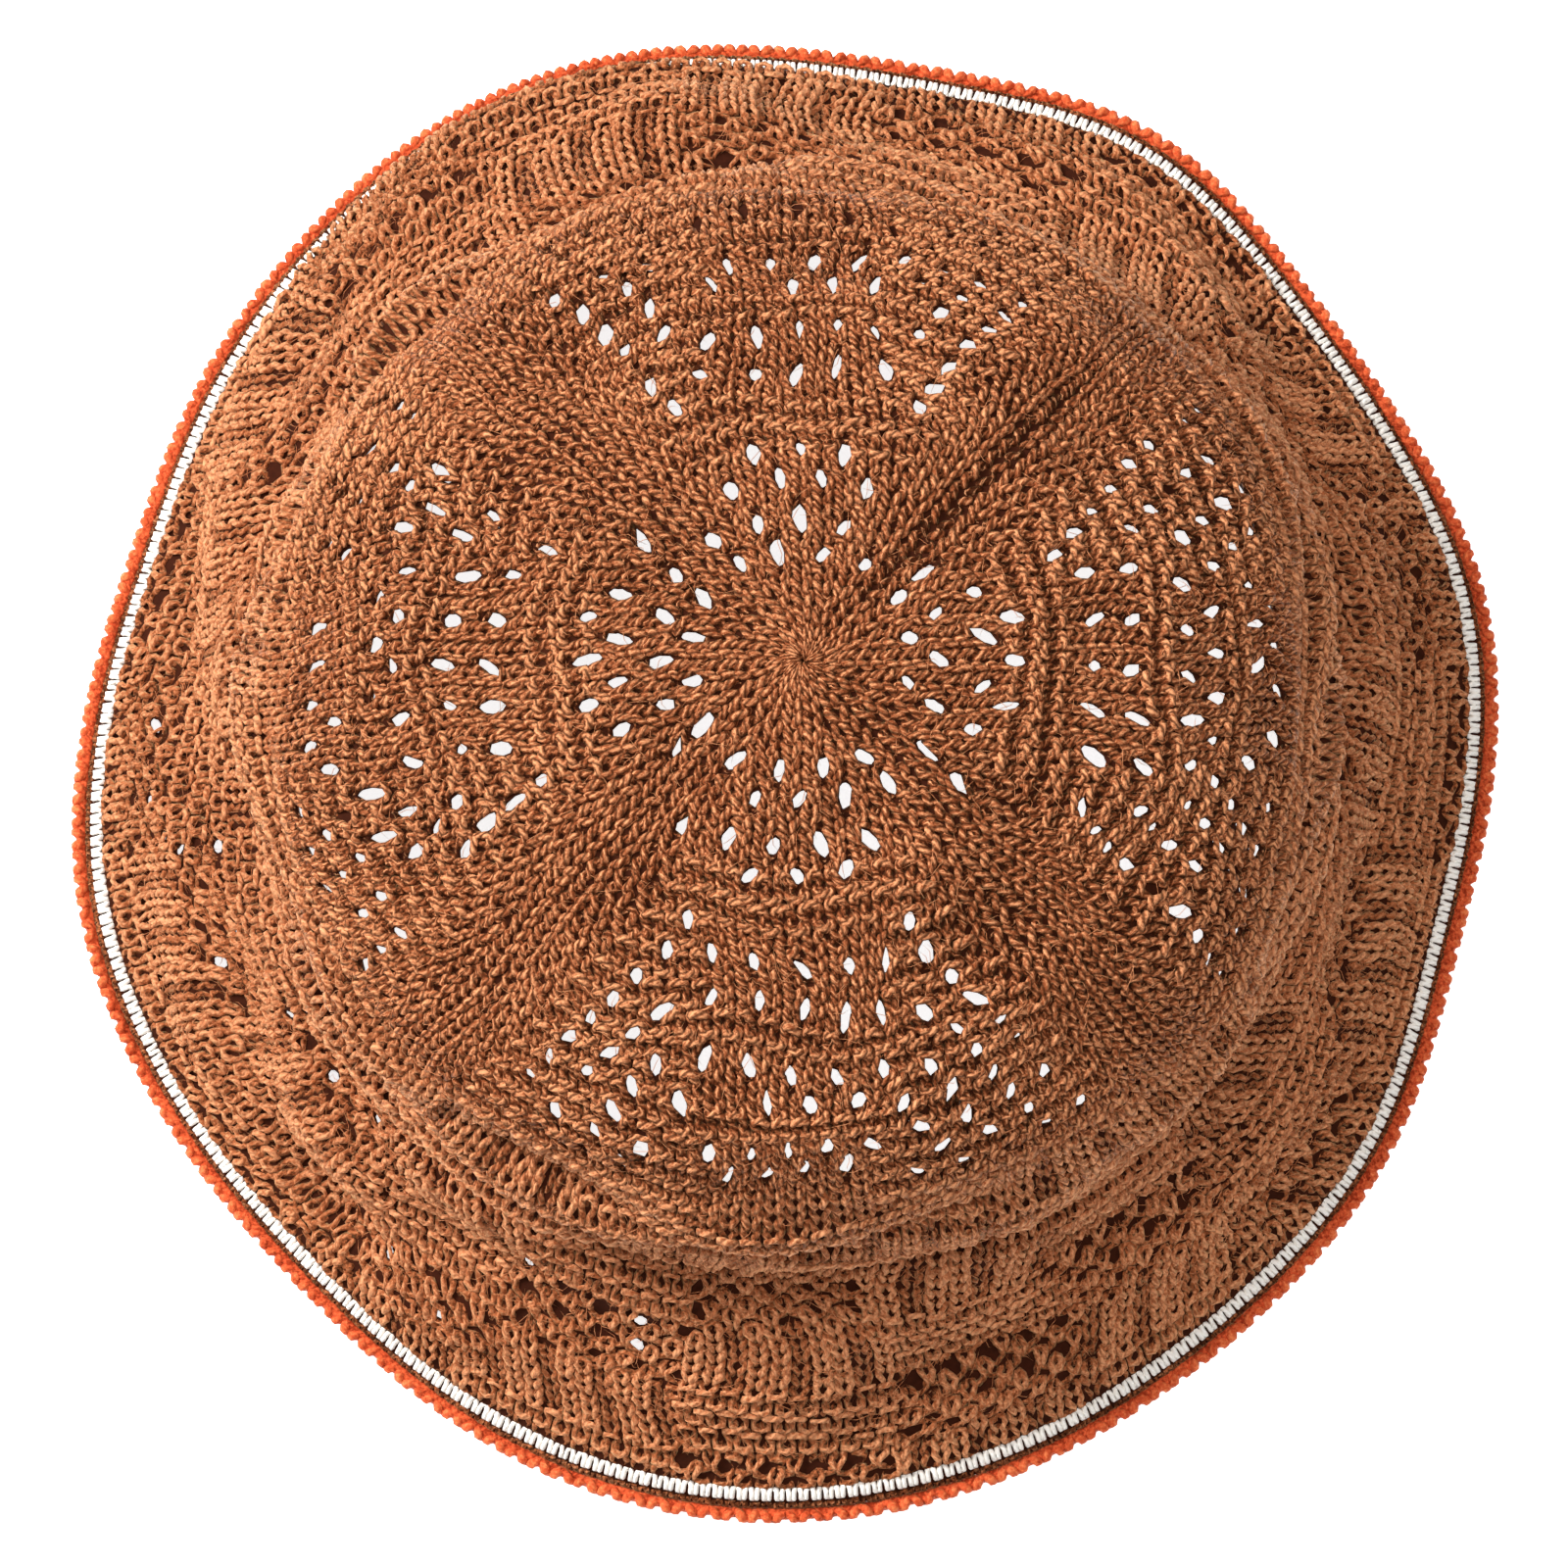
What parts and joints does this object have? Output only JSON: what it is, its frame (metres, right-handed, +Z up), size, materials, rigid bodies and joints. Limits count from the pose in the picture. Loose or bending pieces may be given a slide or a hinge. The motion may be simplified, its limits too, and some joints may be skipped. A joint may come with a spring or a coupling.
{
  "type": "knitted openwork bucket hat",
  "caption": "Soft knitted bucket hat with an eyelet lace crown, a flared wavy brim, a pale stripe and a bumpy corded edging, resting on its brim.",
  "frame": {"origin": "on the surface that the hat rests on, under the middle of the brim", "axes": "+Z up, +X to the wearer's side and to the right in the picture, +Y to the back, away from the viewer"},
  "size_m": [0.262, 0.2754, 0.106],
  "materials": {
    "brown_knit": "plied yarn, knitted, matt",
    "cream_yarn": "plied yarn, matt",
    "orange_yarn": "plied yarn, matt"
  },
  "bodies": {
    "root": {"crown": "brown_knit", "brim": "brown_knit", "cream_stripe": "cream_yarn", "orange_edging": "orange_yarn"}
  },
  "joints": []
}
